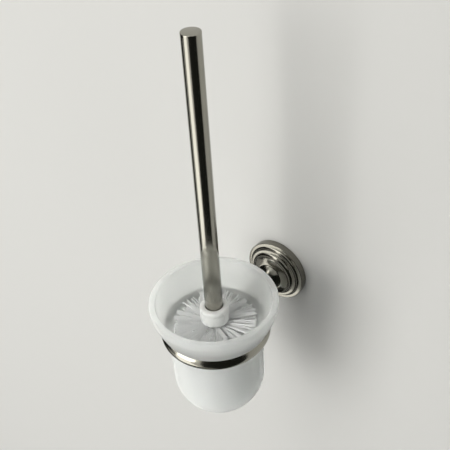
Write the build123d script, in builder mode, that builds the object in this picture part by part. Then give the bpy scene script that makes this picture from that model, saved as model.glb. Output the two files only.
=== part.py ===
from build123d import *
import os
from math import cos, pi, radians, sin, sqrt

# A wall-mounted toilet brush holder: a stepped wall rose on a hidden bracket, a post, a support ring,
# a frosted glass cup hanging in the ring by its collar, and a brush with a round metal handle.
# All lengths are millimetres. The origin is the centre of the rose's back face, on the wall.
# +Z is up, the holder stands out from the wall along -Y, and +X is to the right seen from the room.

# ---------------------------------------------------------------- driving dimensions
# Where the cup hangs
cup_axis_offset = 100.2       # from the wall to the common axis of ring, cup and brush

# Glass cup
cup_radius = 42.7             # outside of the straight body
cup_wall = 4.0                # body and round bottom
cup_corner_share = 0.9        # outside rounding of the bottom, as a share of the body's radius
cup_depth = 99.2              # from the seat on the ring down to the bottom
collar_height = 29.3          # from the seat up to the rim
collar_flare = 15.3           # how far the rim stands out past the body
collar_band = 7.0             # straight band below the rim
collar_belly = 1.0            # how far the flared wall bulges past a straight cone
rim_wall = 5.5
rim_rounding = 1.4
throat_thickness = 4.4        # glass at the foot of the flare, measured level
throat_rise = 3.3             # how far above the foot of the flare that is taken
shoulder_width = 3.8          # flat seat under the collar
shoulder_rounding = 3.0       # from the seat up into the flared wall
seat_corner = 0.8             # small rounding where the seat meets the body, and on the ring

# Support ring
ring_height = 11.4
ring_thickness = 6.9          # at the crown of the domed outer face
ring_dome = 2.6               # how far the crown stands out past the ring's edges
ring_edge_rounding = 0.9
cup_clearance = 0.6           # between ring and glass body

# Wall rose
rose_radius = 31.4
rose_tier_depth = 6.9         # first tier, and how far it stands off the wall
rose_second_radius = 26.1
rose_second_step = 3.2
rose_third_radius = 20.4
rose_third_step = 4.2
rose_crown = 2.0              # rise of the domed face from the third tier in to the post
rose_crown_fullness = 0.65    # share of that rise reached half way in
rose_edge_rounding = 0.6      # front edge of every tier; a cove fills the rest of each step
rose_cove_land = 0.1          # straight wall left between a cove and the edge in front of it
rose_seat_rounding = 0.3      # edge of the crown round the post
rose_rim = 7.4                # solid rim round the bracket's recess
rose_skin = 1.5               # metal left in front of the recess at the first tier

# Bracket under the rose
bracket_clearance = 0.4
bracket_screw_spacing = 34.0
bracket_hole_radius = 2.6
bracket_countersink_radius = 4.7
bracket_groove_depth = 1.2    # V groove round the edge that the grub screw bites into
bracket_middle_hole = 6.0     # clears the head of the post screw

# Post
post_neck_radius = 12.8
post_seat_depth = 3.3         # how deep the neck is let into the rose's crown
post_step = 0.3               # how far the straight neck stands out of the crown
post_waist_length = 15.0      # hollow arc from the neck down to the slim arm
post_end_margin = 1.0         # slim end stays this much inside the ring's half height

# Screws, with plain shanks
grub_radius = 2.0
grub_socket = 2.0             # hexagon across flats
grub_socket_depth = 2.2
grub_tip_gap = 0.3            # point to the bottom of the bracket's groove
grub_inset = 0.6              # outer end inside the rose's edge
post_screw_radius = 2.5
post_screw_head_radius = 4.6
post_screw_head_height = 2.8
post_screw_socket = 3.0
post_screw_socket_depth = 1.7
ring_screw_radius = 2.0
ring_screw_head_radius = 3.9
ring_screw_socket = 2.4
ring_screw_socket_depth = 1.2
ring_screw_inset = 0.35       # head below the ring's curved inner wall
thread_clearance = 0.05       # shank in its threaded hole
through_clearance = 0.2       # shank in a plain hole
thread_spare = 1.0            # threaded hole past the screw's end
drill_point = 1.5             # cone at the bottom of a drilled hole
post_screw_share = 0.40       # how much of the post the rose's screw takes
ring_screw_share = 0.22       # and the ring's screw, from the other end

# Handle
handle_radius = 8.0
handle_wall = 1.0
handle_length = 278.9         # tube and cap, from the floor of its socket
cap_thickness = 3.0
cap_spigot = 6.0
cap_bevel = 0.35
plug_length = 16.0
stud_radius = 3.0
stud_reach = 14.0             # length of stud in the brush core
stud_chamfer = 0.6
fit_clearance = 0.05          # close fits in the handle

# Brush head
head_length = 117.1           # from the cup's floor to the top of the collar ring
hub_wall = 5.0                # plastic round the handle, which sets the hub's radius
socket_depth = 13.6           # how deep the handle stands in the hub
lip_height = 3.5              # collar ring above the seam
lip_crown_width = 2.75        # rounded top of the collar ring, inwards from its side
lip_crown_depth = 2.1         # and down its side
lip_bore_chamfer = 0.4
lip_spigot = 2.0              # locates the collar ring in the hub
lip_spigot_wall = 2.25        # from the handle out to the spigot's side
hub_height = 12.6             # hub, from the top of the collar ring to its lower edge
hub_rounding = 2.0
seam_depth = 0.35
stem_toe_clearance = 0.5      # rounded end of the stem to the cup's round bottom

# Bristles
bristle_columns = 12
bristle_rows = 8
bristle_phase = -7.0          # direction of the first column, in degrees from +X
bristle_drop = 14.9           # from the top of the collar ring down to the top of the bristles
bottom_row_height = 10.0      # lowest row above the cup's floor
bristle_clearance = 0.4       # bristle tips to the glass
fan_gap_angle = 4.3           # half of the gap between two fans, in degrees
row_gap = 1.0
tuft_hole_radius = 1.5
tuft_hole_depth = 3.0
tuft_hole_web = 0.4           # plastic left between two hole bottoms
tuft_clearance = 0.05
tuft_collar = 0.3             # straight part of a tuft outside its hole

# ---------------------------------------------------------------- places worked out from them
ring_top = ring_height / 2
ring_inner_radius = cup_radius + cup_clearance
ring_outer_radius = ring_inner_radius + ring_thickness
ring_edge_radius = ring_outer_radius - ring_dome

cup_seat = ring_top
cup_bottom = cup_seat - cup_depth
rim_top = cup_seat + collar_height
rim_radius = cup_radius + collar_flare
cup_corner_radius = cup_corner_share * cup_radius
bowl_centre_radius = cup_radius - cup_corner_radius
bowl_centre_z = cup_bottom + cup_corner_radius
cup_inner_radius = cup_radius - cup_wall
bowl_radius = cup_corner_radius - cup_wall
cup_floor = bowl_centre_z - bowl_radius

rose_second_depth = rose_tier_depth + rose_second_step
rose_third_depth = rose_second_depth + rose_third_step
rose_front = rose_third_depth + rose_crown
rose_second_cove = rose_second_step - rose_edge_rounding - rose_cove_land
rose_third_cove = rose_third_step - rose_edge_rounding - rose_cove_land
recess_radius = rose_radius - rose_rim
recess_depth = rose_tier_depth - rose_skin
bracket_radius = recess_radius - bracket_clearance
bracket_thickness = recess_depth - bracket_clearance
groove_place = bracket_thickness / 2

post_seat = rose_front - post_seat_depth
post_end = cup_axis_offset - ring_outer_radius
post_length = post_end - post_seat
post_end_radius = ring_top - post_end_margin
post_waist_start = rose_front + post_step

head_top = cup_floor + head_length
seam_z = head_top - lip_height
socket_floor = head_top - socket_depth
hub_radius = handle_radius + hub_wall
hub_bottom = head_top - hub_height
handle_top = socket_floor + handle_length
core_radius = (bristle_columns * (2 * tuft_hole_radius + tuft_hole_web) / (2 * pi)
               + tuft_hole_depth)

bristle_radius = cup_inner_radius - bristle_clearance
bottom_row_z = cup_floor + bottom_row_height
row_pitch = (head_top - bristle_drop + row_gap / 2 - bottom_row_z) / (bristle_rows - 0.5)
fan_height = row_pitch - row_gap
row_places = [bottom_row_z + row_pitch * n for n in range(bristle_rows)]

cup_plane = Plane(origin=(0, -cup_axis_offset, 0), x_dir=(1, 0, 0), z_dir=(0, -1, 0))
cup_line = Axis((0, -cup_axis_offset, 0), (0, 0, 1))

os.makedirs("parts", exist_ok=True)


def save(piece, name):
    """Label a finished piece and write it as its own file."""
    piece.part.label = name
    export_step(piece.part, f"parts/{name}.step")


def wall_profile(*points):
    """A closed outline of (radius, distance from the wall), to turn about the wall's normal."""
    with BuildSketch(Plane.XY) as outline:
        with BuildLine():
            Polyline(*[(radius, -distance) for radius, distance in points], close=True)
        make_face()
    return outline.sketch


def cup_profile(*points):
    """A closed outline of (radius, height), to turn about the cup's axis."""
    with BuildSketch(cup_plane) as outline:
        with BuildLine():
            Polyline(*points, close=True)
        make_face()
    return outline.sketch


same_place = 0.01             # two corners closer than this are one


def corners_at(*places):
    """The corners of the section being drawn that lie at the given places."""
    return [point for point in vertices()
            if any(abs(point.X - x) < same_place and abs(point.Y - y) < same_place
                   for x, y in places)]


# ---------------------------------------------------------------- wall bracket
# A round plate with two countersunk screw holes, a hole that clears the post screw's head, and a
# V groove round its edge.
with BuildPart() as wall_bracket:
    groove_floor = bracket_radius - bracket_groove_depth
    revolve(wall_profile(
        (bracket_middle_hole, 0), (bracket_radius, 0),
        (bracket_radius, groove_place - bracket_groove_depth),
        (groove_floor, groove_place),
        (bracket_radius, groove_place + bracket_groove_depth),
        (bracket_radius, bracket_thickness), (bracket_middle_hole, bracket_thickness)), axis=Axis.Y)
    with Locations(Plane(origin=(0, -bracket_thickness, 0), x_dir=(1, 0, 0), z_dir=(0, -1, 0))):
        with GridLocations(bracket_screw_spacing, 1, 2, 1):
            CounterSinkHole(bracket_hole_radius, bracket_countersink_radius)
save(wall_bracket, "wall_bracket")

# ---------------------------------------------------------------- wall rose
# Turned in three tiers, each rising from the one before it in a cove. The back is hollow for the
# bracket, and the crown has a round seat for the post.
with BuildPart() as flange:
    with BuildSketch(Plane.XY):
        with BuildLine():
            Polyline(
                (recess_radius, 0), (rose_radius, 0),
                (rose_radius, -rose_tier_depth), (rose_second_radius, -rose_tier_depth),
                (rose_second_radius, -rose_second_depth), (rose_third_radius, -rose_second_depth),
                (rose_third_radius, -rose_third_depth))
            ThreePointArc(
                (rose_third_radius, -rose_third_depth),
                ((rose_third_radius + post_neck_radius) / 2,
                 -rose_third_depth - rose_crown_fullness * rose_crown),
                (post_neck_radius + fit_clearance, -rose_front))
            Polyline(
                (post_neck_radius + fit_clearance, -rose_front),
                (post_neck_radius + fit_clearance, -post_seat),
                (post_screw_radius + through_clearance, -post_seat),
                (post_screw_radius + through_clearance, -recess_depth),
                (recess_radius, -recess_depth), (recess_radius, 0))
        make_face()
        fillet(corners_at((rose_radius, -rose_tier_depth), (rose_second_radius, -rose_second_depth),
                          (rose_third_radius, -rose_third_depth)), rose_edge_rounding)
        fillet(corners_at((post_neck_radius + fit_clearance, -rose_front)), rose_seat_rounding)
        for radius, depth, cove in ((rose_second_radius, rose_tier_depth, rose_second_cove),
                                    (rose_third_radius, rose_second_depth, rose_third_cove)):
            fillet(corners_at((radius, -depth)), cove)
    revolve(axis=Axis.Y)
    # threaded hole for the grub screw, straight up into the rose's rim
    with Locations(Location((0, -groove_place, -rose_radius), (0, 0, 0))):
        Cylinder(grub_radius + thread_clearance, 2 * (rose_rim + 1), mode=Mode.SUBTRACT)
save(flange, "flange")

# ---------------------------------------------------------------- grub screw
# Cone pointed, with a hexagon socket in its lower end.
grub_tip = -(bracket_radius - bracket_groove_depth + grub_tip_gap)
grub_end = -(rose_radius - grub_inset)
with BuildPart() as flange_grub_screw:
    with BuildSketch(Plane(origin=(0, -groove_place, 0), x_dir=(1, 0, 0), z_dir=(0, -1, 0))):
        with BuildLine():
            Polyline((0, grub_tip), (grub_radius, grub_tip - grub_radius), (grub_radius, grub_end),
                     (0, grub_end), close=True)
        make_face()
    revolve(axis=Axis((0, -groove_place, 0), (0, 0, 1)))
    with BuildSketch(Plane(origin=(0, -groove_place, grub_end))):
        RegularPolygon(grub_socket / 2, 6, major_radius=False)
    extrude(amount=grub_socket_depth, mode=Mode.SUBTRACT)
save(flange_grub_screw, "flange_grub_screw")

# ---------------------------------------------------------------- support ring
# Upright, flat inside and domed outside. Its screw sits countersunk in the inner wall.
ring_back = cup_axis_offset - ring_inner_radius          # inner wall, as a distance from the wall
head_plane = ring_back - ring_screw_inset


def ring_section(allowance):
    """The ring's section: flat inner wall and edges, domed outer face, grown by an allowance."""
    edge = ring_edge_radius + allowance
    top = ring_top + allowance
    with BuildSketch(cup_plane) as section:
        with BuildLine():
            ThreePointArc((edge, -top), (ring_outer_radius + allowance, 0), (edge, top))
            Polyline((edge, top), (ring_inner_radius, top), (ring_inner_radius, -top), (edge, -top))
        make_face()
        fillet(section.vertices().group_by(Axis.X)[-1], ring_edge_rounding)
        fillet(section.vertices().group_by(Axis.X)[0], seat_corner)
    return section.sketch


with BuildPart() as support_ring:
    revolve(ring_section(0), axis=cup_line)
    hole = ring_screw_radius + through_clearance
    head = ring_screw_head_radius + through_clearance
    revolve(wall_profile(
        (0, ring_back + 1), (head, ring_back + 1), (head, head_plane),
        (hole, head_plane - (head - hole)), (hole, post_end - 1), (0, post_end - 1)),
        axis=Axis.Y, mode=Mode.SUBTRACT)
save(support_ring, "support_ring")

# ---------------------------------------------------------------- post
# A neck let into the rose, a hollow waist like a trumpet's bell, and a slim arm whose end is
# shaped to the ring's domed face.
with BuildPart() as post:
    with BuildSketch(Plane.XY):
        with BuildLine():
            waist_end = (post_end_radius, -(post_waist_start + post_waist_length))
            Polyline((0, -post_end - ring_dome), (0, -post_seat), (post_neck_radius, -post_seat),
                     (post_neck_radius, -post_waist_start))
            TangentArc(waist_end, (post_neck_radius, -post_waist_start), tangent=(0, 1))
            Polyline(waist_end, (post_end_radius, -post_end - ring_dome), (0, -post_end - ring_dome))
        make_face()
    revolve(axis=Axis.Y)
    revolve(ring_section(fit_clearance), axis=cup_line, mode=Mode.SUBTRACT)
    post_screw_reach = post_length * post_screw_share
    screw_bore = post_screw_radius + thread_clearance
    revolve(wall_profile(
        (0, post_seat - 1), (screw_bore, post_seat - 1),
        (screw_bore, post_seat + post_screw_reach + thread_spare),
        (0, post_seat + post_screw_reach + thread_spare + drill_point)),
        axis=Axis.Y, mode=Mode.SUBTRACT)
    ring_screw_reach = post_length * ring_screw_share
    ring_bore = ring_screw_radius + thread_clearance
    revolve(wall_profile(
        (0, post_end + 1), (ring_bore, post_end + 1),
        (ring_bore, post_end - ring_screw_reach - thread_spare),
        (0, post_end - ring_screw_reach - thread_spare - drill_point)),
        axis=Axis.Y, mode=Mode.SUBTRACT)
save(post, "post")

# ---------------------------------------------------------------- post screw
with BuildPart() as post_screw:
    revolve(wall_profile(
        (0, recess_depth - post_screw_head_height),
        (post_screw_head_radius, recess_depth - post_screw_head_height),
        (post_screw_head_radius, recess_depth), (post_screw_radius, recess_depth),
        (post_screw_radius, post_seat + post_screw_reach), (0, post_seat + post_screw_reach)),
        axis=Axis.Y)
    socket_plane = Plane(origin=(0, -(recess_depth - post_screw_head_height), 0),
                         x_dir=(1, 0, 0), z_dir=(0, -1, 0))
    with BuildSketch(socket_plane):
        RegularPolygon(post_screw_socket / 2, 6, major_radius=False)
    extrude(amount=post_screw_socket_depth, mode=Mode.SUBTRACT)
save(post_screw, "post_screw")

# ---------------------------------------------------------------- ring screw
with BuildPart() as ring_screw:
    cone = ring_screw_head_radius - ring_screw_radius
    revolve(wall_profile(
        (0, head_plane), (ring_screw_head_radius, head_plane), (ring_screw_radius, head_plane - cone),
        (ring_screw_radius, post_end - ring_screw_reach), (0, post_end - ring_screw_reach)),
        axis=Axis.Y)
    driver_plane = Plane(origin=(0, -head_plane, 0), x_dir=(1, 0, 0), z_dir=(0, 1, 0))
    with BuildSketch(driver_plane):
        RegularPolygon(ring_screw_socket / 2, 6, major_radius=False)
    extrude(amount=ring_screw_socket_depth, mode=Mode.SUBTRACT)
save(ring_screw, "ring_screw")

# ---------------------------------------------------------------- glass cup
# Turned: round bottom, straight body, a seat that rests on the ring, and a thick flared collar.
flare_foot = (cup_radius + shoulder_width + shoulder_rounding, cup_seat + shoulder_rounding)
flare_top = (rim_radius, rim_top - collar_band)
flare_middle = ((flare_foot[0] + flare_top[0]) / 2 + collar_belly,
                (flare_foot[1] + flare_top[1]) / 2)
rim_inner_radius = rim_radius - rim_wall
throat = (flare_foot[0] - throat_thickness, flare_foot[1] + throat_rise)
bend = sqrt(0.5)              # half way round a quarter turn
with BuildPart() as glass_cup:
    with BuildSketch(cup_plane):
        with BuildLine():
            # outside, from the bottom up
            Line((0, cup_bottom), (bowl_centre_radius, cup_bottom))
            ThreePointArc(
                (bowl_centre_radius, cup_bottom),
                (bowl_centre_radius + bend * cup_corner_radius,
                 bowl_centre_z - bend * cup_corner_radius),
                (cup_radius, bowl_centre_z))
            Polyline((cup_radius, bowl_centre_z), (cup_radius, cup_seat),
                     (cup_radius + shoulder_width, cup_seat))
            ThreePointArc(
                (cup_radius + shoulder_width, cup_seat),
                (flare_foot[0] - (1 - bend) * shoulder_rounding,
                 cup_seat + (1 - bend) * shoulder_rounding),
                flare_foot)
            ThreePointArc(flare_foot, flare_middle, flare_top)
            Polyline(flare_top, (rim_radius, rim_top), (rim_inner_radius, rim_top),
                     (rim_inner_radius, flare_top[1]))
            # inside, from the collar down to the floor
            Spline((rim_inner_radius, flare_top[1]), throat, (cup_inner_radius, cup_seat - cup_wall),
                   tangents=((0, -1), (0, -1)))
            Line((cup_inner_radius, cup_seat - cup_wall), (cup_inner_radius, bowl_centre_z))
            ThreePointArc(
                (cup_inner_radius, bowl_centre_z),
                (bowl_centre_radius + bend * bowl_radius, bowl_centre_z - bend * bowl_radius),
                (bowl_centre_radius, cup_floor))
            Polyline((bowl_centre_radius, cup_floor), (0, cup_floor), (0, cup_bottom))
        make_face()
        rim_corners = vertices().group_by(Axis.Y)[-1]
        fillet(rim_corners, rim_rounding)
        fillet(corners_at((cup_radius, cup_seat)), seat_corner)
    revolve(axis=cup_line)
save(glass_cup, "glass_cup")

# ---------------------------------------------------------------- handle
tube_bore = handle_radius - handle_wall
tube_top = handle_top - cap_thickness
with BuildPart() as handle_tube:
    revolve(cup_profile((tube_bore, socket_floor), (handle_radius, socket_floor),
                        (handle_radius, tube_top), (tube_bore, tube_top)), axis=cup_line)
save(handle_tube, "handle_tube")

with BuildPart() as handle_cap:
    spigot_radius = tube_bore - fit_clearance
    revolve(cup_profile(
        (0, tube_top - cap_spigot), (spigot_radius, tube_top - cap_spigot), (spigot_radius, tube_top),
        (handle_radius, tube_top), (handle_radius, handle_top - cap_bevel),
        (handle_radius - cap_bevel, handle_top), (0, handle_top)), axis=cup_line)
save(handle_cap, "handle_cap")

with BuildPart() as handle_plug:
    revolve(cup_profile(
        (stud_radius + thread_clearance, socket_floor), (tube_bore - fit_clearance, socket_floor),
        (tube_bore - fit_clearance, socket_floor + plug_length),
        (stud_radius + thread_clearance, socket_floor + plug_length)), axis=cup_line)
save(handle_plug, "handle_plug")

with BuildPart() as handle_stud:
    revolve(cup_profile(
        (0, socket_floor - stud_reach), (stud_radius - stud_chamfer, socket_floor - stud_reach),
        (stud_radius, socket_floor - stud_reach + stud_chamfer),
        (stud_radius, socket_floor + plug_length), (0, socket_floor + plug_length)), axis=cup_line)
save(handle_stud, "handle_stud")

# ---------------------------------------------------------------- white plastic brush head
# The collar ring is a rounded bead round the handle's foot, located by a spigot in the hub below.
lip_bore = handle_radius + through_clearance
spigot_outer = handle_radius + lip_spigot_wall
with BuildPart() as collar_ring:
    with BuildSketch(cup_plane):
        with BuildLine():
            Polyline(
                (lip_bore, seam_z - lip_spigot), (spigot_outer, seam_z - lip_spigot),
                (spigot_outer, seam_z), (hub_radius - seam_depth, seam_z),
                (hub_radius, seam_z + seam_depth), (hub_radius, head_top - lip_crown_depth))
            Spline(
                (hub_radius, head_top - lip_crown_depth), (hub_radius - lip_crown_width, head_top),
                tangents=((0, 1), (-1, 0)))
            Polyline(
                (hub_radius - lip_crown_width, head_top), (lip_bore + lip_bore_chamfer, head_top),
                (lip_bore, head_top - lip_bore_chamfer), (lip_bore, seam_z - lip_spigot))
        make_face()
    revolve(axis=cup_line)
save(collar_ring, "collar_ring")

# The core carries the hub, which holds the handle, and the stem with a square hole for every tuft.
# Its rounded end stands on the cup's floor.
with BuildPart() as brush_core:
    stem_shoulder = hub_bottom - hub_rounding
    with BuildSketch(cup_plane):
        with BuildLine():
            Polyline(
                (spigot_outer + fit_clearance, seam_z), (hub_radius - seam_depth, seam_z),
                (hub_radius, seam_z - seam_depth), (hub_radius, hub_bottom + hub_rounding))
            Spline(
                (hub_radius, hub_bottom + hub_rounding), (core_radius, stem_shoulder),
                tangents=((0, -1), (0, -1)))
            Polyline(
                (core_radius, stem_shoulder), (core_radius, cup_floor), (0, cup_floor),
                (0, socket_floor - stud_reach - thread_spare - drill_point),
                (stud_radius + thread_clearance, socket_floor - stud_reach - thread_spare),
                (stud_radius + thread_clearance, socket_floor),
                (handle_radius + fit_clearance, socket_floor),
                (handle_radius + fit_clearance, seam_z - lip_spigot - fit_clearance),
                (spigot_outer + fit_clearance, seam_z - lip_spigot - fit_clearance),
                (spigot_outer + fit_clearance, seam_z))
        make_face()
        fillet(corners_at((core_radius, cup_floor)),
               core_radius - bowl_centre_radius + stem_toe_clearance)
    revolve(axis=cup_line)
    for row_z in row_places:
        with BuildSketch(Plane(origin=(0, -cup_axis_offset, row_z))):
            with PolarLocations(0, bristle_columns, start_angle=bristle_phase):
                with Locations((core_radius, 0)):
                    Rectangle(2 * tuft_hole_depth, 2 * tuft_hole_radius)
        extrude(amount=tuft_hole_radius, both=True, mode=Mode.SUBTRACT)
save(brush_core, "brush_core")

# ---------------------------------------------------------------- bristles
# Twelve fans a row. The fans get shorter towards the cup's round bottom.
fan_half_angle = radians(180 / bristle_columns - fan_gap_angle)
tuft_root = 2 * (tuft_hole_radius - tuft_clearance)


def glass_radius_at(height):
    """Inner radius of the cup's body or round bottom at a height."""
    if height > bowl_centre_z:
        return cup_inner_radius
    return bowl_centre_radius + sqrt(bowl_radius ** 2 - (height - bowl_centre_z) ** 2)


def fan(tip_radius):
    """One tuft pointing along +X: a square root in its hole, then a fan that opens to the tip."""
    root_start = core_radius - tuft_hole_depth + tuft_clearance
    flare_start = core_radius + tuft_collar
    tip_plane = tip_radius * cos(fan_half_angle)
    tip_width = 2 * tip_radius * sin(fan_half_angle)
    with BuildPart() as tuft:
        with BuildSketch(Plane.YZ.offset(root_start)):
            Rectangle(tuft_root, tuft_root)
        extrude(amount=flare_start - root_start)
        with BuildSketch(Plane.YZ.offset(flare_start)):
            Rectangle(tuft_root, tuft_root)
        with BuildSketch(Plane.YZ.offset(tip_plane)):
            Rectangle(tip_width, fan_height)
        loft()
    return tuft.part


for number, row_z in enumerate(reversed(row_places), start=1):
    lowest = row_z - fan_height / 2
    reach = min(bristle_radius, glass_radius_at(lowest) - bristle_clearance)
    with BuildPart() as bristle_row:
        with Locations(Location((0, -cup_axis_offset, row_z))):
            with PolarLocations(0, bristle_columns, start_angle=bristle_phase):
                add(fan(reach))
    save(bristle_row, f"bristle_row_{number}")
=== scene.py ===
# %% [markdown]
# # A wall-mounted toilet brush holder
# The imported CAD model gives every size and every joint. This script dresses it: it models the
# pieces that the eye rests on again, as smooth turned shapes and single bristles, gives every
# piece a finish built from shader nodes, and lights it as a tall bathroom window does.
# Everything is in metres. The wall is the plane y = 0, the room lies towards -Y, and +Z is up.

# %% Load the frame and keep its box
import random
from math import cos, pi, radians, sin, sqrt, tan

import bmesh
import bpy
from mathutils import Matrix, Vector


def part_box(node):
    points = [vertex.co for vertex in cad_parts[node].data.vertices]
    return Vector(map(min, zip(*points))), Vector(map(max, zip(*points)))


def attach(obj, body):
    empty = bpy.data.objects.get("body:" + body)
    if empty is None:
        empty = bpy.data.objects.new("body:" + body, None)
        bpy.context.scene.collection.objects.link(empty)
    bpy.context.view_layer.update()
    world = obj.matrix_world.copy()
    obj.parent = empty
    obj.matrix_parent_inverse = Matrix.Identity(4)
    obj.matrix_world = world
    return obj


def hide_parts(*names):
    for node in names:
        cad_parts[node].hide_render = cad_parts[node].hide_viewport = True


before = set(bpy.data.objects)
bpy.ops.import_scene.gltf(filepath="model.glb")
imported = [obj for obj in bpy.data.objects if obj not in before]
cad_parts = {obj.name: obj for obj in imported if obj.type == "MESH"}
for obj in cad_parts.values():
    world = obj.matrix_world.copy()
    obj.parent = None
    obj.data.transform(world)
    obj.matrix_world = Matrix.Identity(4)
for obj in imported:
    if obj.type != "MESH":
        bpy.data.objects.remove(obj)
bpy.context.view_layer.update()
MM = 0.001
FULL_TURN = 2 * pi

# %% [markdown]
# ## Where things are
# The cup, the ring and the brush share one upright axis. The middle of the cup's box lies on it.
# The rose and the post share an axis that stands out from the wall, in the middle of the rose.
# Both are read from the frame, so nothing here has to be kept in step with the CAD by hand.

# %% The two axes
cup_low, cup_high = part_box("glass_cup")
cup_axis = Vector(((cup_low.x + cup_high.x) / 2, (cup_low.y + cup_high.y) / 2, 0))
rose_low, rose_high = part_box("flange")
rose_axis = Vector(((rose_low.x + rose_high.x) / 2, 0, (rose_low.z + rose_high.z) / 2))
print("cup axis", tuple(round(v, 4) for v in cup_axis))
print("rose axis", tuple(round(v, 4) for v in rose_axis))

# %% [markdown]
# ## The camera
# A long lens looks down on the holder from the upper right, far enough away for the handle to
# stay nearly straight. It is aimed at a point beside the cup, turned about its own axis by a few
# degrees, and nothing is focused or shifted.

# %% Camera
CAMERA_AZIMUTH = radians(40.36)
CAMERA_ELEVATION = radians(38.11)
CAMERA_ROLL = radians(-3.97)
CAMERA_DISTANCE = 0.81208
CAMERA_AIM = cup_axis + Vector((-0.02823, 0.05608, 0.06908))
SENSOR_WIDTH = 36.0             # the sensor and the lens are in millimetres
LENS = 70.6992

away = Vector((sin(CAMERA_AZIMUTH) * cos(CAMERA_ELEVATION),
               -cos(CAMERA_AZIMUTH) * cos(CAMERA_ELEVATION),
               sin(CAMERA_ELEVATION)))
level = (-away).cross(Vector((0, 0, 1))).normalized()
upright = level.cross(-away)
camera_right = level * cos(CAMERA_ROLL) + upright * sin(CAMERA_ROLL)
camera_up = upright * cos(CAMERA_ROLL) - level * sin(CAMERA_ROLL)

camera_data = bpy.data.cameras.new("camera")
camera_data.sensor_width = SENSOR_WIDTH
camera_data.lens = LENS
camera = bpy.data.objects.new("camera", camera_data)
bpy.context.collection.objects.link(camera)
camera_turn = Matrix((camera_right, camera_up, away)).transposed().to_4x4()
camera.matrix_world = Matrix.Translation(CAMERA_AIM + away * CAMERA_DISTANCE) @ camera_turn
bpy.context.scene.camera = camera
bpy.context.scene.view_settings.view_transform = "Standard"
print("camera at", tuple(round(v, 3) for v in camera.matrix_world.translation))

# %% [markdown]
# ## Helpers for turned pieces
# Almost every piece here is turned on a lathe or blown in a round mould, so each starts as half
# of its section: a wire of corners, each given as radius and height. A corner can be rounded by
# bevelling its vertex. Then one spin about the upright axis makes the solid. Merging doubles
# closes the poles, and recalculating the normals points every face outwards.

# %% Section wires
def round_corners(wire, points, reach, steps):
    """Rounds some corners of a wire, as far as the reach along both sides of each."""
    bmesh.ops.bevel(wire, geom=points, offset=reach, offset_type="OFFSET", segments=steps,
                    profile=0.5, affect="VERTICES", clamp_overlap=False, material=-1)


def section(corners, closed=False):
    """A wire through corners of (radius, height) or (radius, height, rounding), in metres.

    A rounding is a pair: its reach along each side of the corner, and its steps.
    """
    wire = bmesh.new()
    points = [wire.verts.new((radius, 0, height)) for radius, height, *_ in corners]
    pairs = list(zip(points, points[1:]))
    if closed:
        pairs.append((points[-1], points[0]))
    for pair in pairs:
        wire.edges.new(pair)
    for point, (_, _, *roundings) in zip(points, corners):
        for reach, steps in roundings:
            round_corners(wire, [point], reach, steps)
    return wire


# %% The spin, and where its mesh goes
WELD = 1e-6                     # points closer than this are one point


def spin(wire, steps):
    """Turns a wire once round the upright axis through the origin, closes and orients it."""
    bmesh.ops.spin(wire, geom=wire.verts[:] + wire.edges[:], cent=(0, 0, 0), axis=(0, 0, 1),
                   dvec=(0, 0, 0), angle=FULL_TURN, steps=steps, use_merge=True,
                   use_duplicate=False)
    bmesh.ops.remove_doubles(wire, verts=wire.verts, dist=WELD)
    bmesh.ops.dissolve_degenerate(wire, edges=wire.edges, dist=WELD)
    bmesh.ops.recalc_face_normals(wire, faces=wire.faces)
    return wire


def stand_at(mesh_data, where):
    """Moves a turned mesh from the origin's axis to its place."""
    bmesh.ops.translate(mesh_data, vec=where, verts=mesh_data.verts)


def lay_on_wall(mesh_data):
    """Turns the upright axis to stand out from the wall, so that a height is a distance from it."""
    bmesh.ops.rotate(mesh_data, cent=(0, 0, 0), matrix=Matrix.Rotation(radians(90), 3, "X"),
                     verts=mesh_data.verts)


# %% [markdown]
# ## Putting a finished mesh in the scene
# Each finished piece is an object at the origin, unturned and unscaled, with its place in its
# mesh. A moved object would carry its own coordinates along, and a pattern that is centred on the
# cup's axis would miss it. The piece rides on a CAD body, gets its finish, and replaces a CAD node,
# which then isn't shown.

# %% Finishing a piece
SHARP = radians(40)


def place(mesh_data, name, body, material, replaced):
    mesh = bpy.data.meshes.new(name)
    mesh_data.to_mesh(mesh)
    mesh_data.free()
    mesh.polygons.foreach_set("use_smooth", [True] * len(mesh.polygons))
    mesh.set_sharp_from_angle(angle=SHARP)
    piece = bpy.data.objects.new(name, mesh)
    bpy.context.collection.objects.link(piece)
    mesh.materials.append(material)
    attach(piece, body)
    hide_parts(*replaced)
    print(name, "faces", len(mesh.polygons))


# %% [markdown]
# ## Shader node groups
# Three effects come back in several finishes. Fine lines are what a polishing wheel leaves along
# a rod or round a turned face. Handling is the faint cloudiness of metal and plastic that hands
# and water touch. Frost is the even etched grain of the glass. Each could be drawn anew in every
# material. As a group it is built once, puts out only values, and each material gives it its own
# scale and strength. All three are one noise that leaves the group twice: spread between two
# limits, which suits a roughness, and as it is, which suits a bump or a drift in colour.

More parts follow.
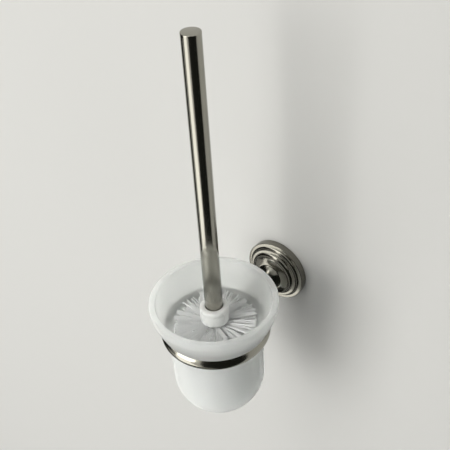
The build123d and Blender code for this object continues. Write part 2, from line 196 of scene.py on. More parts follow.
# %% Fine lines, handling and frost
def pattern_group(name, scale, detail, limits, outputs):
    """A group with a noise, its limits as ((name, value), (name, value)), and two outputs."""
    group = bpy.data.node_groups.new(name, "ShaderNodeTree")
    group.interface.new_socket("Vector", in_out="INPUT", socket_type="NodeSocketVector")
    for label, value in (("Scale", scale), *limits):
        socket = group.interface.new_socket(label, in_out="INPUT", socket_type="NodeSocketFloat")
        socket.default_value = value
    for label in outputs:
        group.interface.new_socket(label, in_out="OUTPUT", socket_type="NodeSocketFloat")
    start = group.nodes.new("NodeGroupInput").outputs
    end = group.nodes.new("NodeGroupOutput").inputs
    noise = group.nodes.new("ShaderNodeTexNoise")
    noise.inputs["Detail"].default_value = detail
    spread = group.nodes.new("ShaderNodeMapRange")
    (low_name, _), (high_name, _) = limits
    spread_name, plain_name = outputs
    for source, target in ((start["Vector"], noise.inputs["Vector"]),
                           (start["Scale"], noise.inputs["Scale"]),
                           (noise.outputs["Fac"], spread.inputs["Value"]),
                           (start[low_name], spread.inputs["To Min"]),
                           (start[high_name], spread.inputs["To Max"]),
                           (spread.outputs["Result"], end[spread_name]),
                           (noise.outputs["Fac"], end[plain_name])):
        group.links.new(source, target)
    return group


fine_lines = pattern_group("fine_lines", scale=4000.0, detail=3.0,
                           limits=(("Smooth", 0.18), ("Rough", 0.28)),
                           outputs=("Roughness", "Height"))
handling = pattern_group("handling", scale=60.0, detail=4.0,
                         limits=(("Least", 0.0), ("Most", 0.05)),
                         outputs=("Cloud", "Patches"))
frost = pattern_group("frost", scale=2500.0, detail=2.0,
                      limits=(("Least", 0.4), ("Most", 0.6)),
                      outputs=("Roughness", "Height"))
print("groups:", [group.name for group in (fine_lines, handling, frost)])

# %% [markdown]
# ## Starting a material
# Every finish starts from the Principled shader, which knows metal, glass and plastic by a few
# numbers. Its patterns read Object coordinates, which are the same metres as the shape, so a
# scale means the same on every piece and no piece has to be unwrapped. Two small helpers serve
# all of them: a bump for the fine relief, and a tint that drifts between two close tones, since
# no real surface is one flat colour.

# %% A new material, and a group in it
def new_material(name):
    """A material with a Principled shader, its tree and Object coordinates."""
    material = bpy.data.materials.new(name)
    material.use_nodes = True
    tree = material.node_tree
    shader = tree.nodes["Principled BSDF"]
    coordinates = tree.nodes.new("ShaderNodeTexCoord")
    return material, tree, shader, coordinates.outputs["Object"]


def use_group(tree, group, vector, **values):
    """Places a group in a material, with its own values."""
    node = tree.nodes.new("ShaderNodeGroup")
    node.node_tree = group
    tree.links.new(vector, node.inputs["Vector"])
    for label, value in values.items():
        node.inputs[label].default_value = value
    return node


# %% Bump and tint
def bump(tree, shader, height, strength, distance):
    """A Bump node on the shader's normal."""
    node = tree.nodes.new("ShaderNodeBump")
    node.inputs["Strength"].default_value = strength
    node.inputs["Distance"].default_value = distance
    tree.links.new(height, node.inputs["Height"])
    tree.links.new(node.outputs["Normal"], shader.inputs["Normal"])


def tint(tree, shader, patches, dark, light):
    """Base colour that drifts between two close tones."""
    mix = tree.nodes.new("ShaderNodeMix")
    mix.data_type = "RGBA"
    mix.inputs["A"].default_value = (*dark, 1)
    mix.inputs["B"].default_value = (*light, 1)
    tree.links.new(patches, mix.inputs["Factor"])
    tree.links.new(mix.outputs["Result"], shader.inputs["Base Color"])


# %% [markdown]
# ## Satin nickel
# The holder's metal is nickel plate, polished and then taken back to a soft satin, so it mirrors
# the room in long blurred bands. A plain grey metal looks dead beside it. Three versions of one
# finish follow the way each piece was polished: along the rod, and round the turned pieces. The
# lines are too fine to be seen one by one, so they mostly act through the roughness. The rose and
# the post get a darker plate colour than the rod: a painted shade for their darker reflections.

# %% The way the polishing lines lie
DRAWN_ALONG_Z = (1, 1, 0.02)    # slows the pattern along Z, which draws its grains out


def mapped(tree, vector, offset=(0, 0, 0), scale=(1, 1, 1)):
    """A Mapping node: scales, then moves, the pattern's coordinates."""
    node = tree.nodes.new("ShaderNodeMapping")
    node.vector_type = "POINT"
    node.inputs["Location"].default_value = offset
    node.inputs["Scale"].default_value = scale
    tree.links.new(vector, node.inputs["Vector"])
    return node.outputs["Vector"]


def turned_vector(tree, vector, centre, axis):
    """Coordinates that only change with the distance from a turning axis and along it."""
    shifted = mapped(tree, vector, offset=tuple(-c for c in centre))
    parts = tree.nodes.new("ShaderNodeSeparateXYZ")
    tree.links.new(shifted, parts.inputs["Vector"])
    first, second = [label for label in "XYZ" if label != axis]
    flat = tree.nodes.new("ShaderNodeCombineXYZ")
    tree.links.new(parts.outputs[first], flat.inputs["X"])
    tree.links.new(parts.outputs[second], flat.inputs["Y"])
    radius = tree.nodes.new("ShaderNodeVectorMath")
    radius.operation = "LENGTH"
    tree.links.new(flat.outputs["Vector"], radius.inputs[0])
    both = tree.nodes.new("ShaderNodeCombineXYZ")
    tree.links.new(radius.outputs["Value"], both.inputs["X"])
    tree.links.new(parts.outputs[axis], both.inputs["Y"])
    return both.outputs["Vector"]


# %% Satin nickel
NICKEL_DARK = (0.33, 0.320, 0.278)
NICKEL_LIGHT = (0.375, 0.364, 0.318)
ROSE_PAINTED_SHADE = 0.7                # painted shade: the rose's and post's plate tone over the rod's
LINES_ROUND = 3500.0
LINES_ALONG = 2500.0


def satin_nickel(name, line_scale, turned_about=None, shade=1.0):
    """Nickel plate, polished round an axis (its centre and its letter), or else along Z."""
    material, tree, shader, where = new_material(name)
    shader.inputs["Metallic"].default_value = 1.0
    if turned_about:
        lines_at = turned_vector(tree, where, *turned_about)
    else:
        lines_at = mapped(tree, where, scale=DRAWN_ALONG_Z)
    lines = use_group(tree, fine_lines, lines_at, Scale=line_scale, Smooth=0.12, Rough=0.18)
    hands = use_group(tree, handling, where, Scale=45.0, Least=-0.01, Most=0.04)
    # a shade below 1 paints the plate colour darker, a painted shade
    tint(tree, shader, hands.outputs["Patches"], dark=tuple(shade * tone for tone in NICKEL_DARK),
         light=tuple(shade * tone for tone in NICKEL_LIGHT))
    roughness = tree.nodes.new("ShaderNodeMath")
    roughness.operation = "ADD"
    tree.links.new(lines.outputs["Roughness"], roughness.inputs[0])
    tree.links.new(hands.outputs["Cloud"], roughness.inputs[1])
    tree.links.new(roughness.outputs["Value"], shader.inputs["Roughness"])
    bump(tree, shader, lines.outputs["Height"], strength=0.10, distance=0.05 * MM)
    return material


nickel_rod = satin_nickel("nickel_rod", LINES_ALONG)
nickel_ring = satin_nickel("nickel_ring", LINES_ROUND, (cup_axis, "Z"))
# the rose and the post share this darker plate, a painted shade for their darker reflections
nickel_rose = satin_nickel("nickel_rose", LINES_ROUND, (rose_axis, "Y"), ROSE_PAINTED_SHADE)
print("nickel:", nickel_rod.name, nickel_ring.name, nickel_rose.name)

# %% [markdown]
# ## The wall rose
# A turned cover in three tiers. Each tier has a narrow flat front and a small rounded edge, and
# rises out of the one before it in a cove, and those coves are what make the bright and dark
# rings. The section could be drawn point by point. Giving only its corners and how far each is
# rounded keeps it as readable as a drawing. The back is hollow, as in the CAD model.

# %% Sizes of the wall rose
FIT = 0.05 * MM                 # slack between pieces that fit together
FIRST_FRONT = 6.9 * MM          # how far the widest tier stands out from the wall
SECOND_TIER = (26.1 * MM, 10.1 * MM)    # radius and front
THIRD_TIER = (20.4 * MM, 14.3 * MM)
RECESS = (24.0 * MM, 5.4 * MM)  # radius and depth of the hollow back
POST_HOLE = 2.7 * MM            # radius of the hole for the post's screw
CROWN_SHARE = 0.65              # of the crown's rise is reached half way to the post
BACK_EDGE = (0.25 * MM, 3)      # roundings: reach and steps
TIER_EDGE = (0.6 * MM, 5)
FIRST_COVE = (2.5 * MM, 12)
SECOND_COVE = (3.5 * MM, 14)
CROWN_ROUNDING = (2.5 * MM, 8)
FINE_EDGE = (0.3 * MM, 3)
ROSE_STEPS = 192

rose_radius = rose_high.x - rose_axis.x
rose_front = rose_high.y - rose_low.y
post_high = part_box("post")[1]
post_radius = post_high.x - rose_axis.x
post_seat = -post_high.y
print("rose", round(rose_radius / MM, 2), "mm in radius,", round(rose_front / MM, 2), "mm deep")

# %% Wall rose
crown_middle = ((THIRD_TIER[0] + post_radius) / 2,
                THIRD_TIER[1] + CROWN_SHARE * (rose_front - THIRD_TIER[1]))
rose_mesh = spin(section((
    (RECESS[0], 0),
    (rose_radius, 0, BACK_EDGE),
    (rose_radius, FIRST_FRONT, TIER_EDGE),
    (SECOND_TIER[0], FIRST_FRONT, FIRST_COVE),
    (*SECOND_TIER, TIER_EDGE),
    (THIRD_TIER[0], SECOND_TIER[1], SECOND_COVE),
    (*THIRD_TIER, TIER_EDGE),
    (*crown_middle, CROWN_ROUNDING),
    (post_radius + FIT, rose_front, FINE_EDGE),
    (post_radius + FIT, post_seat),
    (POST_HOLE, post_seat),
    (POST_HOLE, RECESS[1]),
    (*RECESS, FINE_EDGE),
), closed=True), ROSE_STEPS)
lay_on_wall(rose_mesh)
stand_at(rose_mesh, rose_axis)
place(rose_mesh, "wall_rose", "wall_mount", nickel_rose, ("flange",))

# %% [markdown]
# ## The post
# The neck is let into the rose. It draws in along one hollow arc, like the bell of a trumpet, to
# a slim arm, whose end is shaped to the ring's domed face. An arc between two straight runs is a
# corner with a wide bevel, so the whole post is one section and one spin. The end is then pulled
# onto the dome.

# %% The ring's face, which the post's end needs too
RING_DOME = 2.6 * MM            # how far the outer face bulges

ring_low, ring_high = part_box("support_ring")
ring_outer = ring_high.x - cup_axis.x
ring_edge = ring_outer - RING_DOME
half_height = (ring_high.z - ring_low.z) / 2
dome_radius = (half_height ** 2 + RING_DOME ** 2) / (2 * RING_DOME)
print("dome radius", round(dome_radius / MM, 2), "mm")


def ring_face(height):
    """Radius of the ring's domed outer face at a height. The middle of the ring is at 0."""
    return ring_outer - dome_radius + sqrt(dome_radius ** 2 - height ** 2)


# %% Post
POST_STEPS = 128
NECK_STEP = 0.3 * MM            # the neck stands this far out of the crown
WAIST_LENGTH = 15.0 * MM
ARM_MARGIN = 1.0 * MM           # from the arm to the ring's top edge
NEARLY_ALL = 0.9999             # the waist's arc stops just short of the neck's corner
WAIST_STEPS = 24

arm_radius = half_height - ARM_MARGIN
post_end = -cup_axis.y - ring_outer
waist_start = rose_front + NECK_STEP
waist_drop = post_radius - arm_radius
waist_reach = (waist_drop ** 2 + WAIST_LENGTH ** 2) / (2 * WAIST_LENGTH)
waist_corner = waist_start + WAIST_LENGTH - waist_reach
post_mesh = spin(section((
    (0, post_seat), (post_radius, post_seat), (post_radius, waist_start),
    (arm_radius, waist_corner, (NEARLY_ALL * waist_reach, WAIST_STEPS)),
    (arm_radius, post_end), (0, post_end))), POST_STEPS)
lay_on_wall(post_mesh)
for point in post_mesh.verts:
    if point.co.y < -post_end + WELD:
        across = ring_face(point.co.z)
        point.co.y = cup_axis.y + sqrt(across ** 2 - point.co.x ** 2)
stand_at(post_mesh, rose_axis)
place(post_mesh, "post_arm", "wall_mount", nickel_rose, ("post",))

# %% [markdown]
# ## The support ring
# An upright hoop, flat inside and domed outside, with softly rounded edges. Its section is closed,
# and one spin makes the whole hoop. The small countersink for its screw is behind the glass.

# %% Support ring
RING_STEPS = 256
RING_THICKNESS = 6.9 * MM
INNER_EDGE = (0.8 * MM, 4)
OUTER_EDGE = (0.34 * MM, 4)
DOME_CUTS = 24

ring_inner = ring_outer - RING_THICKNESS
ring_wire = section((
    (ring_inner, ring_low.z, INNER_EDGE),
    (ring_edge, ring_low.z),
    (ring_edge, ring_high.z),
    (ring_inner, ring_high.z, INNER_EDGE)), closed=True)
face_line = [edge for edge in ring_wire.edges
             if all(point.co.x > ring_edge - WELD for point in edge.verts)]
bmesh.ops.subdivide_edges(ring_wire, edges=face_line, cuts=DOME_CUTS)
face_points = [point for point in ring_wire.verts if point.co.x > ring_edge - WELD]
for point in face_points:
    point.co.x = ring_face(point.co.z)
ring_corners = [point for point in face_points if abs(point.co.z) > half_height - WELD]
round_corners(ring_wire, ring_corners, *OUTER_EDGE)
ring_mesh = spin(ring_wire, RING_STEPS)
stand_at(ring_mesh, cup_axis)
place(ring_mesh, "support_hoop", "wall_mount", nickel_ring, ("support_ring",))

# %% [markdown]
# ## Frosted glass
# The cup is thick clear glass, acid etched outside and in. Light is spread widely at each etched
# face, which gives the milky look: things close behind the glass show as soft blurs, and things
# further away not at all. Most of the light goes through with a very rough transmission, and the
# small rest is scattered back white. A single clear glass with a little roughness would show the
# ring and the brush sharply. The transmission stays one plain number, so that it also survives an
# export.

# %% Frosted glass
frosted_glass, tree, shader, where = new_material("frosted_glass")
shader.inputs["Transmission Weight"].default_value = 0.8
shader.inputs["IOR"].default_value = 1.5
etched = use_group(tree, frost, where, Scale=2200.0, Least=0.90, Most=0.98)
tree.links.new(etched.outputs["Roughness"], shader.inputs["Roughness"])
milk = use_group(tree, handling, where, Scale=25.0)
tint(tree, shader, milk.outputs["Patches"], dark=(0.965, 0.98, 0.975), light=(0.98, 0.99, 0.985))
bump(tree, shader, etched.outputs["Height"], strength=0.06, distance=0.1 * MM)
print("glass:", frosted_glass.name)

# %% [markdown]
# ## The glass cup
# One section runs up the outside from the round bottom, over the seat that rests on the ring, up
# the flared collar to the rim, and down the inside. The long roundings are corner bevels with
# many steps. The wall is real: two skins, joined over the rim.

# %% Outside of the glass
CUP_BODY = 42.7 * MM            # outer radius below the ring
BOTTOM_ROUNDNESS = 0.9          # 1 would make the bottom half a ball
BOTTOM_STEPS = 40
SEAT_WIDTH = 3.8 * MM
COLLAR_FOOT = 3.0 * MM          # the collar starts this far out from the seat, and above it
FLARE_INSET = 0.4 * MM
FLARE_BULGE = 1.0 * MM          # of the flare's middle, over a straight line
RIM_BAND = 7.0 * MM             # height of the upright band under the rim
SEAT_HOLLOW = (0.8 * MM, 4)
FOOT_ROUNDING = (2.6 * MM, 8)
FLARE_BEND = (5.0 * MM, 8)
BAND_EDGE = (2.0 * MM, 5)
RIM_EDGE = (1.4 * MM, 6)

bottom_reach = BOTTOM_ROUNDNESS * CUP_BODY
rim_radius = cup_high.x - cup_axis.x
seat = ring_high.z
band_foot = cup_high.z - RIM_BAND
collar_foot = (CUP_BODY + SEAT_WIDTH + COLLAR_FOOT, seat + COLLAR_FOOT)
flare_middle = ((collar_foot[0] + rim_radius) / 2 + FLARE_BULGE, (collar_foot[1] + band_foot) / 2)
glass_outside = (
    (0, cup_low.z),
    (CUP_BODY, cup_low.z, (bottom_reach, BOTTOM_STEPS)),
    (CUP_BODY, seat, SEAT_HOLLOW),
    (collar_foot[0] - FLARE_INSET, seat, FOOT_ROUNDING),
    (*flare_middle, FLARE_BEND),
    (rim_radius, band_foot, BAND_EDGE),
    (rim_radius, cup_high.z, RIM_EDGE))
print("rim", round(2 * rim_radius / MM, 1), "mm across")

# %% Inside of the glass, and the cup
GLASS_WALL = 4.0 * MM           # of the body
RIM_WALL = 5.5 * MM
THROAT_WALL = 4.4 * MM          # inwards from the collar's foot
THROAT_RISE = 3.3 * MM          # above the collar's foot
NECK_DROP = 1.0 * MM            # the body's straight inside ends this far below the seat
BAND_DROP = 1.0 * MM
BAND_HOLLOW = (6.0 * MM, 10)
THROAT_ROUNDING = (3.0 * MM, 8)
NECK_HOLLOW = (4.0 * MM, 10)
CUP_STEPS = 224

inner_radius = CUP_BODY - GLASS_WALL
glass_floor = cup_low.z + GLASS_WALL
bowl_radius = bottom_reach - GLASS_WALL
glass_inside = (
    (rim_radius - RIM_WALL, cup_high.z, RIM_EDGE),
    (rim_radius - RIM_WALL, band_foot - BAND_DROP, BAND_HOLLOW),
    (collar_foot[0] - THROAT_WALL, collar_foot[1] + THROAT_RISE, THROAT_ROUNDING),
    (inner_radius, seat - NECK_DROP, NECK_HOLLOW),
    (inner_radius, glass_floor, (bowl_radius, BOTTOM_STEPS)),
    (0, glass_floor))
cup_mesh = spin(section(glass_outside + glass_inside), CUP_STEPS)
stand_at(cup_mesh, cup_axis)
place(cup_mesh, "frosted_cup", "cup", frosted_glass, ("glass_cup",))

# %% [markdown]
# ## The handle
# A plain 16 mm tube with a flat cap let into its top. The tube is a closed section with a real
# wall, and the cap's edge has a hair-fine bevel that catches the light.

# %% Handle tube
ROD_STEPS = 128
TUBE_WALL = 1.0 * MM
TUBE_EDGE = (0.2 * MM, 2)

tube_low, tube_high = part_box("handle_tube")
rod_radius = tube_high.x - cup_axis.x
tube_mesh = spin(section((
    (rod_radius - TUBE_WALL, tube_low.z),
    (rod_radius, tube_low.z, TUBE_EDGE),
    (rod_radius, tube_high.z),
    (rod_radius - TUBE_WALL, tube_high.z)), closed=True), ROD_STEPS)
stand_at(tube_mesh, cup_axis)
place(tube_mesh, "handle_rod", "brush", nickel_rod, ("handle_tube",))

# %% Handle cap
CAP_EDGE = (0.35 * MM, 3)

cap_low, cap_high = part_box("handle_cap")
spigot_radius = rod_radius - TUBE_WALL - FIT
cap_mesh = spin(section((
    (0, cap_low.z), (spigot_radius, cap_low.z), (spigot_radius, tube_high.z),
    (rod_radius, tube_high.z), (rod_radius, cap_high.z, CAP_EDGE), (0, cap_high.z))), ROD_STEPS)
stand_at(cap_mesh, cup_axis)
place(cap_mesh, "handle_end", "brush", nickel_ring, ("handle_cap",))

# %% [markdown]
# ## White plastic
# The hub and its collar ring are moulded in smooth white plastic. A low roughness gives the gloss,
# and a very faint unevenness in it keeps the plastic from looking like chalk.

# %% White plastic
white_plastic, tree, shader, where = new_material("white_plastic")
shader.inputs["IOR"].default_value = 1.48
hands = use_group(tree, handling, where, Scale=80.0, Least=0.22, Most=0.34)
tint(tree, shader, hands.outputs["Patches"], dark=(0.82, 0.83, 0.82), light=(0.85, 0.86, 0.85))
tree.links.new(hands.outputs["Cloud"], shader.inputs["Roughness"])
moulded = use_group(tree, frost, where, Scale=900.0, Least=0.0, Most=1.0)
bump(tree, shader, moulded.outputs["Height"], strength=0.03, distance=0.05 * MM)
print("plastic:", white_plastic.name)

# %% [markdown]
# ## The hub
# The collar ring is a rounded bead on top of the hub, and a fine dark seam runs between them. The
# hub's lower edge draws in with an S to the stem, which is hidden by the bristles.

# %% Collar ring
HUB_STEPS = 128
BEAD_HEIGHT = 5.2 * MM
BORE_SLACK = 0.2 * MM           # between the rod and the bead
SPIGOT_WALL = 2.25 * MM         # of the sleeve under the bead, from the rod's side outwards
SEAM = (0.35 * MM, 2)
BEAD_ROUNDING = (2.3 * MM, 12)
BORE_EDGE = (0.4 * MM, 3)

bead_low, bead_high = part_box("collar_ring")
hub_radius = bead_high.x - cup_axis.x
head_top = bead_high.z
seam_height = head_top - BEAD_HEIGHT
bead_bore = rod_radius + BORE_SLACK
spigot_side = rod_radius + SPIGOT_WALL
bead_mesh = spin(section((
    (bead_bore, bead_low.z), (spigot_side, bead_low.z), (spigot_side, seam_height),
    (hub_radius, seam_height, SEAM),
    (hub_radius, head_top, BEAD_ROUNDING),
    (bead_bore, head_top, BORE_EDGE)), closed=True), HUB_STEPS)
stand_at(bead_mesh, cup_axis)
place(bead_mesh, "hub_collar", "brush", white_plastic, ("collar_ring",))

# %% Hub and stem
HUB_HEIGHT = 16.6 * MM
HUB_SLOPE = 1.0 * MM            # the stem meets the hub this far below the hub's edge
STEM_RADIUS = 9.49 * MM
SOCKET_DEPTH = 13.6 * MM
STUD_BORE = 3.05 * MM           # radius of the stud's hole, and its depth below the socket
STUD_DEPTH = 15.0 * MM
HUB_EDGE = (1.8 * MM, 8)
STEM_HOLLOW = (1.2 * MM, 6)
STEM_END = (5.7 * MM, 8)

core_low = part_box("brush_core")[0]
hub_foot = head_top - HUB_HEIGHT
socket_floor = head_top - SOCKET_DEPTH
stud_end = socket_floor - STUD_DEPTH
core_mesh = spin(section((
    (spigot_side + FIT, seam_height),
    (hub_radius, seam_height, SEAM),
    (hub_radius, hub_foot, HUB_EDGE),
    (STEM_RADIUS, hub_foot - HUB_SLOPE, STEM_HOLLOW),
    (STEM_RADIUS, core_low.z, STEM_END),
    (0, core_low.z),
    (0, stud_end),
    (STUD_BORE, stud_end),
    (STUD_BORE, socket_floor),
    (rod_radius + FIT, socket_floor),
    (rod_radius + FIT, bead_low.z - FIT),
    (spigot_side + FIT, bead_low.z - FIT)), closed=True), HUB_STEPS)
stand_at(core_mesh, cup_axis)
place(core_mesh, "hub_and_stem", "brush", white_plastic, ("brush_core",))

# %% [markdown]
# ## White nylon bristles
# Nylon filament is pale and slightly see-through, with a soft shine along its length. A little
# sheen and a mild drift in tone from tuft to tuft stand for that.

# %% Bristle material
nylon, tree, shader, where = new_material("white_nylon")
shader.inputs["IOR"].default_value = 1.53
shader.inputs["Sheen Weight"].default_value = 0.15
hands = use_group(tree, handling, where, Scale=140.0, Least=0.38, Most=0.55)
tint(tree, shader, hands.outputs["Patches"], dark=(0.96, 0.97, 0.975), light=(0.98, 0.985, 0.985))
tree.links.new(hands.outputs["Cloud"], shader.inputs["Roughness"])
fibre = use_group(tree, fine_lines, where, Scale=1800.0, Smooth=0.0, Rough=1.0)
bump(tree, shader, fibre.outputs["Height"], strength=0.05, distance=0.1 * MM)
print("nylon:", nylon.name)

# %% [markdown]
# ## The bristles
# Every tuft is a bundle of filaments pressed into one hole of the stem, which opens into a fan.
# Each filament here is a short spline of three points with a round bevel: it starts in its hole,
# bends a little, and ends at its own place near the fan's edge. In use, filaments stick together
# in strands, with thin places between them, so each filament picks one of a few strands and stays
# close to it. A seeded random generator spreads them, so each run gives the same brush. Curves
# keep this light, and a mesh is made from them at the end, one piece for each row of tufts.

# %% Room inside the glass
bowl_centre = CUP_BODY - bottom_reach
bowl_height = cup_low.z + bottom_reach


def room_in_glass(height):
    """The cup's inner radius at a height."""
    if height > bowl_height:
        return inner_radius
    drop = min(bowl_radius, bowl_height - height)
    return bowl_centre + sqrt(bowl_radius ** 2 - drop ** 2)


def round_axis(reach, heading, across, height):
    """A point by its reach from the cup's axis along a heading, its step across, its height."""
    return cup_axis + Vector((reach * cos(heading) - across * sin(heading),
                              reach * sin(heading) + across * cos(heading), height))


# %% Strands
STRAND_LIMIT = 0.95             # how far up or down the fan, in half heights
STRAND_REACH = (0.955, 0.99)    # how far out, over the room there
STRAND_SWAY = (1, 1, 0.5)       # strands bend less upwards than sideways
STRAND_BEND = 0.8 * MM


def new_strand(draw):
    """A strand: its place across the fan and up it, its reach, and how it bends."""
    side = draw.uniform(-1, 1)
    rise = draw.uniform(-STRAND_LIMIT, STRAND_LIMIT)
    reach = draw.uniform(*STRAND_REACH)
    bend = Vector([draw.gauss(0, sway) for sway in STRAND_SWAY]) * STRAND_BEND
    return side, rise, reach, bend


def near(draw, middle, scatter, limit):
    """A place close to a strand, kept within the fan."""
    return min(limit, max(-limit, middle + draw.gauss(0, scatter)))


# %% One filament
FILAMENT_RADIUS = 0.17 * MM
FAN_HALF_ANGLE = radians(10.9)
FAN_SIDE = 1.05                 # filaments keep within this, in half fans
STRAND_WIDTH = 0.022            # scatter of a filament about its strand, in half fans
STRAND_HEIGHT = 0.06            # and in half heights
TIP_SCATTER = 0.01              # of the reach, over the room there
TIP_CLEARANCE = 0.55 * MM
TIP_RADIUS = 0.75               # over the radius at the root
ROOT_SPREAD = 1.3 * MM          # half the width of the hole
ROOT_DEPTH = 0.8 * MM
BEND_AT = 0.55                  # of the way from root to tip
SAG = ((0, 0.12), (0, 0.12), (0.2, 0.1))    # middle and scatter of its own bend, in mm


def add_filament(curve, draw, strands, heading, row_height, half):
    """Adds one three-point spline, from its hole to its place near the fan's edge."""
    strand_side, strand_rise, strand_reach, bend = draw.choice(strands)
    side = near(draw, strand_side, STRAND_WIDTH, FAN_SIDE)
    rise = near(draw, strand_rise, STRAND_HEIGHT, 1)
    tip_height = row_height + rise * half
    reach = strand_reach + draw.uniform(-TIP_SCATTER, TIP_SCATTER)
    start = round_axis(STEM_RADIUS - ROOT_DEPTH, heading, side * ROOT_SPREAD,
                       row_height + rise * ROOT_SPREAD)
    end = round_axis((room_in_glass(tip_height) - TIP_CLEARANCE) * reach,
                     heading + side * FAN_HALF_ANGLE, 0, tip_height)
    sag = Vector([draw.gauss(middle, scatter) for middle, scatter in SAG]) * MM
    middle_point = start.lerp(end, BEND_AT) + bend + sag
    spline = curve.splines.new("POLY")
    spline.points.add(2)
    for point, place_at, radius in zip(spline.points, (start, middle_point, end),
                                       (1, 1, TIP_RADIUS)):
        point.co = (*place_at, 1)
        point.radius = radius


# %% Bristle rows
FANS = 12
FIRST_FAN = radians(-7.0)       # from +X round the cup's axis
HEADING_SCATTER = 0.012         # in radians
STRANDS = 20
SEEN_ROWS = 2                   # the rows near the rim, which are seen best
SEEN_FILAMENTS = 190
DEEP_FILAMENTS = 70


def bristle_row(node, filaments):
    """One row: twelve fans of filaments about the cup's axis."""
    low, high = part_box(node)
    half = (high.z - low.z) / 2 - FILAMENT_RADIUS
    draw = random.Random(node)
    curve = bpy.data.curves.new(node + "_filaments", "CURVE")
    curve.dimensions = "3D"
    curve.bevel_depth = FILAMENT_RADIUS
    curve.bevel_resolution = 0
    curve.use_fill_caps = True
    for fan in range(FANS):
        heading = FIRST_FAN + fan * FULL_TURN / FANS + draw.gauss(0, HEADING_SCATTER)
        strands = [new_strand(draw) for _ in range(STRANDS)]
        for _ in range(filaments):
            add_filament(curve, draw, strands, heading, (low.z + high.z) / 2, half)
    holder = bpy.data.objects.new(node + "_filaments", curve)
    bpy.context.collection.objects.link(holder)
    mesh_data = bmesh.new()
    mesh_data.from_mesh(bpy.data.meshes.new_from_object(holder))
    bpy.data.objects.remove(holder)
    place(mesh_data, node.replace("bristle_row", "bristles"), "brush", nylon,
          (node,))


rows = sorted(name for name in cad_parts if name.startswith("bristle_row"))
for name in rows:
    bristle_row(name, SEEN_FILAMENTS if name in rows[:SEEN_ROWS] else DEEP_FILAMENTS)

# %% [markdown]
# ## The hidden metal
# The bracket, the screws, the plug and the stud are CAD nodes whose shape is right, so they stay
# and only get a finish: bright zinc, blackened steel and turned brass.

# %% Finishes of the carried-over CAD nodes
def plain_metal(name, dark, light, smooth, rough):
    """A small turned or plated part."""
    material, tree, shader, where = new_material(name)
    shader.inputs["Metallic"].default_value = 1.0
    lines = use_group(tree, fine_lines, where, Scale=1500.0, Smooth=smooth, Rough=rough)
    hands = use_group(tree, handling, where, Scale=150.0)
    tint(tree, shader, hands.outputs["Patches"], dark, light)
    tree.links.new(lines.outputs["Roughness"], shader.inputs["Roughness"])
    bump(tree, shader, lines.outputs["Height"], strength=0.08, distance=0.05 * MM)
    return material


zinc = plain_metal("zinc_steel", dark=(0.58, 0.60, 0.62), light=(0.70, 0.71, 0.72),
                   smooth=0.22, rough=0.38)
black_steel = plain_metal("dark_steel", dark=(0.05, 0.05, 0.055), light=(0.11, 0.11, 0.12),
                          smooth=0.35, rough=0.5)
brass = plain_metal("brass", dark=(0.66, 0.50, 0.26), light=(0.76, 0.60, 0.34),
                    smooth=0.18, rough=0.32)
carried = {"wall_bracket": zinc, "post_screw": zinc, "ring_screw": zinc, "handle_stud": zinc,
           "flange_grub_screw": black_steel, "handle_plug": brass}
for node, material in carried.items():
    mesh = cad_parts[node].data
    mesh.materials.clear()
    mesh.materials.append(material)
print("dressed CAD nodes:", sorted(carried))

# %% [markdown]
# ## The wall
# The holder hangs on a plain pale wall, painted matt with the faint stipple of a roller. Seen from
# behind, the wall is clear, so that the holder's back can be looked at, and it has a hole under
# the rose, so that light reaches the hollow back. A plane would need the hole cut out of it. A
# wire of two points, spun once, gives the whole sheet with its hole.

# %% Wall paint
PAINT_DARK = (0.6107, 0.61464, 0.60282)
PAINT_LIGHT = (0.62, 0.624, 0.612)

wall_paint, tree, shader, where = new_material("wall_paint")
stipple = use_group(tree, handling, where, Scale=160.0, Least=0.75, Most=0.9)
tree.links.new(stipple.outputs["Cloud"], shader.inputs["Roughness"])
bump(tree, shader, stipple.outputs["Patches"], strength=0.03, distance=0.2 * MM)
drift = use_group(tree, handling, where, Scale=3.0)
tint(tree, shader, drift.outputs["Patches"], dark=PAINT_DARK, light=PAINT_LIGHT)
geometry = tree.nodes.new("ShaderNodeNewGeometry")
clear = tree.nodes.new("ShaderNodeBsdfTransparent")
front_or_back = tree.nodes.new("ShaderNodeMixShader")
tree.links.new(geometry.outputs["Backfacing"], front_or_back.inputs["Fac"])
tree.links.new(shader.outputs["BSDF"], front_or_back.inputs[1])
tree.links.new(clear.outputs["BSDF"], front_or_back.inputs[2])
tree.links.new(front_or_back.outputs["Shader"], tree.nodes["Material Output"].inputs["Surface"])
print("wall:", wall_paint.name)

# %% Wall
WALL_GAP = 0.2 * MM             # from the rose's back to the sheet
WALL_REACH = 1.3                # metres, from the rose to the wall's edge
WALL_HOLE = 30.0 * MM
WALL_STEPS = 96

sheet = spin(section(((WALL_HOLE, 0), (WALL_REACH, 0))), WALL_STEPS)
if sum(face.normal.z for face in sheet.faces) < 0:
    bmesh.ops.reverse_faces(sheet, faces=sheet.faces)
lay_on_wall(sheet)
stand_at(sheet, rose_axis + Vector((0, WALL_GAP, 0)))
wall_mesh = bpy.data.meshes.new("wall")
sheet.to_mesh(wall_mesh)
sheet.free()
wall = bpy.data.objects.new("wall", wall_mesh)
bpy.context.collection.objects.link(wall)
wall.data.materials.append(wall_paint)
print("wall faces", len(wall_mesh.polygons))

# %% [markdown]
# ## The room
# The room is nearly dark to the matt and the polished surfaces, so that the rod shows the window
# as a bright band and the room as a dark one beside it. The camera, which looks through the wall
# from behind, sees a pale room instead, and rays that have come through the frosted glass meet a
# dimmer pale one. One plain world can't tell these rays apart. Light Path can, so each kind of ray
# gets its own background.

# %% World
ROOM_MATT = ((0.95, 1.0, 0.97), 0.01)       # colour and strength
ROOM_BY_RAY = (("Is Glossy Ray", (0.9, 0.95, 0.8), 0.02),
               ("Is Transmission Ray", (0.86, 0.865, 0.84), 0.3),
               ("Is Camera Ray", (0.86, 0.865, 0.84), 0.9))

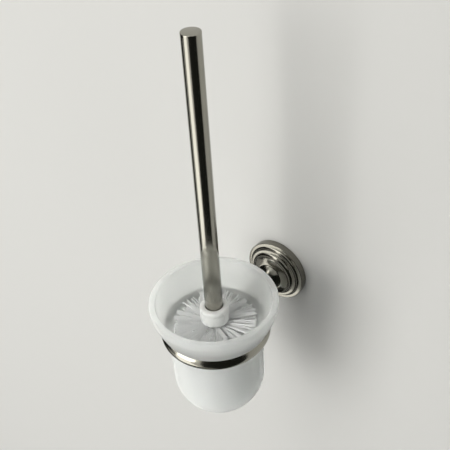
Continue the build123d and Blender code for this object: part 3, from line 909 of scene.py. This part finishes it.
world = bpy.data.worlds.new("room")
world.use_nodes = True
bpy.context.scene.world = world
tree = world.node_tree
tree.nodes.clear()
rays = tree.nodes.new("ShaderNodeLightPath")


def background(colour, strength):
    """One Background shader of the world."""
    node = tree.nodes.new("ShaderNodeBackground")
    node.inputs["Color"].default_value = (*colour, 1)
    node.inputs["Strength"].default_value = strength
    return node.outputs["Background"]


room = background(*ROOM_MATT)
for ray, colour, strength in ROOM_BY_RAY:
    mix = tree.nodes.new("ShaderNodeMixShader")
    tree.links.new(rays.outputs[ray], mix.inputs["Fac"])
    tree.links.new(room, mix.inputs[1])
    tree.links.new(background(colour, strength), mix.inputs[2])
    room = mix.outputs["Shader"]
output = tree.nodes.new("ShaderNodeOutputWorld")
tree.links.new(room, output.inputs["Surface"])
print("world:", world.name, "with", len(ROOM_BY_RAY) + 1, "backgrounds")

# %% [markdown]
# ## The window
# A tall window stands to the left and in front, and the shadow falls softly to the right. One even
# lamp can't do this: the sky in the window's upper half is brighter than the view below it, and
# its sides fade. So the window is made of panels that stand side by side round the cup, each a
# rectangle given by its edges in degrees as seen from the cup, with its own brightness. A weak
# glow from the right stands for what a pale side wall throws back. It skims the wall, so the
# shadow stays. One more lamp stands behind the wall, for looking at the holder's back.

# %% Window panels
# name, left and right edge (degrees round the cup from +X), low and high edge (degrees above the
# level), brightness
WINDOW_PANELS = (
    ("sky", -128.0, -92.0, 30.0, 80.0, 3.3),
    ("sky_left", -140.0, -128.0, 30.0, 80.0, 1.0),
    ("window", -128.0, -92.0, -4.0, 30.0, 5.2),
    ("window_left", -140.0, -128.0, -4.0, 30.0, 0.7),
    ("window_right", -95.0, -81.0, -50.0, 45.0, 0.85),
    ("lower_window", -133.0, -96.0, -53.0, -4.0, 2.4),
    ("lower_left", -155.0, -133.0, -55.0, -18.0, 0.5),
    ("floor_glow", -104.0, -60.0, -75.0, -53.0, 0.4),
    ("side_glow", -30.0, -6.0, -45.0, 10.0, 0.9),
    ("behind", 65.0, 100.0, 5.0, 45.0, 3.0),
)
UNMIRRORED = ("side_glow",)     # lights the glass, but leaves no spot in the metal
print("panels:", [panel[0] for panel in WINDOW_PANELS])

# %% Lamps
PANEL_DISTANCE = 2.6            # metres from the cup
DAYLIGHT = (1.0, 0.985, 0.95)


def hang_lamp(name, left, right, low, high, brightness):
    """An area lamp that fills a rectangle of the view from the cup."""
    turn = radians(left + right) / 2
    rise = radians(low + high) / 2
    lamp_data = bpy.data.lights.new(name, "AREA")
    lamp_data.shape = "RECTANGLE"
    lamp_data.size = 2 * PANEL_DISTANCE * tan(radians(right - left) / 2) * cos(rise)
    lamp_data.size_y = 2 * PANEL_DISTANCE * tan(radians(high - low) / 2)
    lamp_data.energy = brightness * pi * lamp_data.size * lamp_data.size_y
    lamp_data.color = DAYLIGHT
    lamp = bpy.data.objects.new(name, lamp_data)
    bpy.context.collection.objects.link(lamp)
    lamp.visible_glossy = name not in UNMIRRORED
    ray = Vector((cos(turn) * cos(rise), sin(turn) * cos(rise), sin(rise)))
    lamp.matrix_world = (Matrix.Translation(cup_axis + PANEL_DISTANCE * ray)
                         @ ray.to_track_quat("Z", "Y").to_matrix().to_4x4())
    print(name, round(lamp_data.size, 2), "x", round(lamp_data.size_y, 2), "m,",
          round(lamp_data.energy, 1), "W")


for panel in WINDOW_PANELS:
    hang_lamp(*panel)
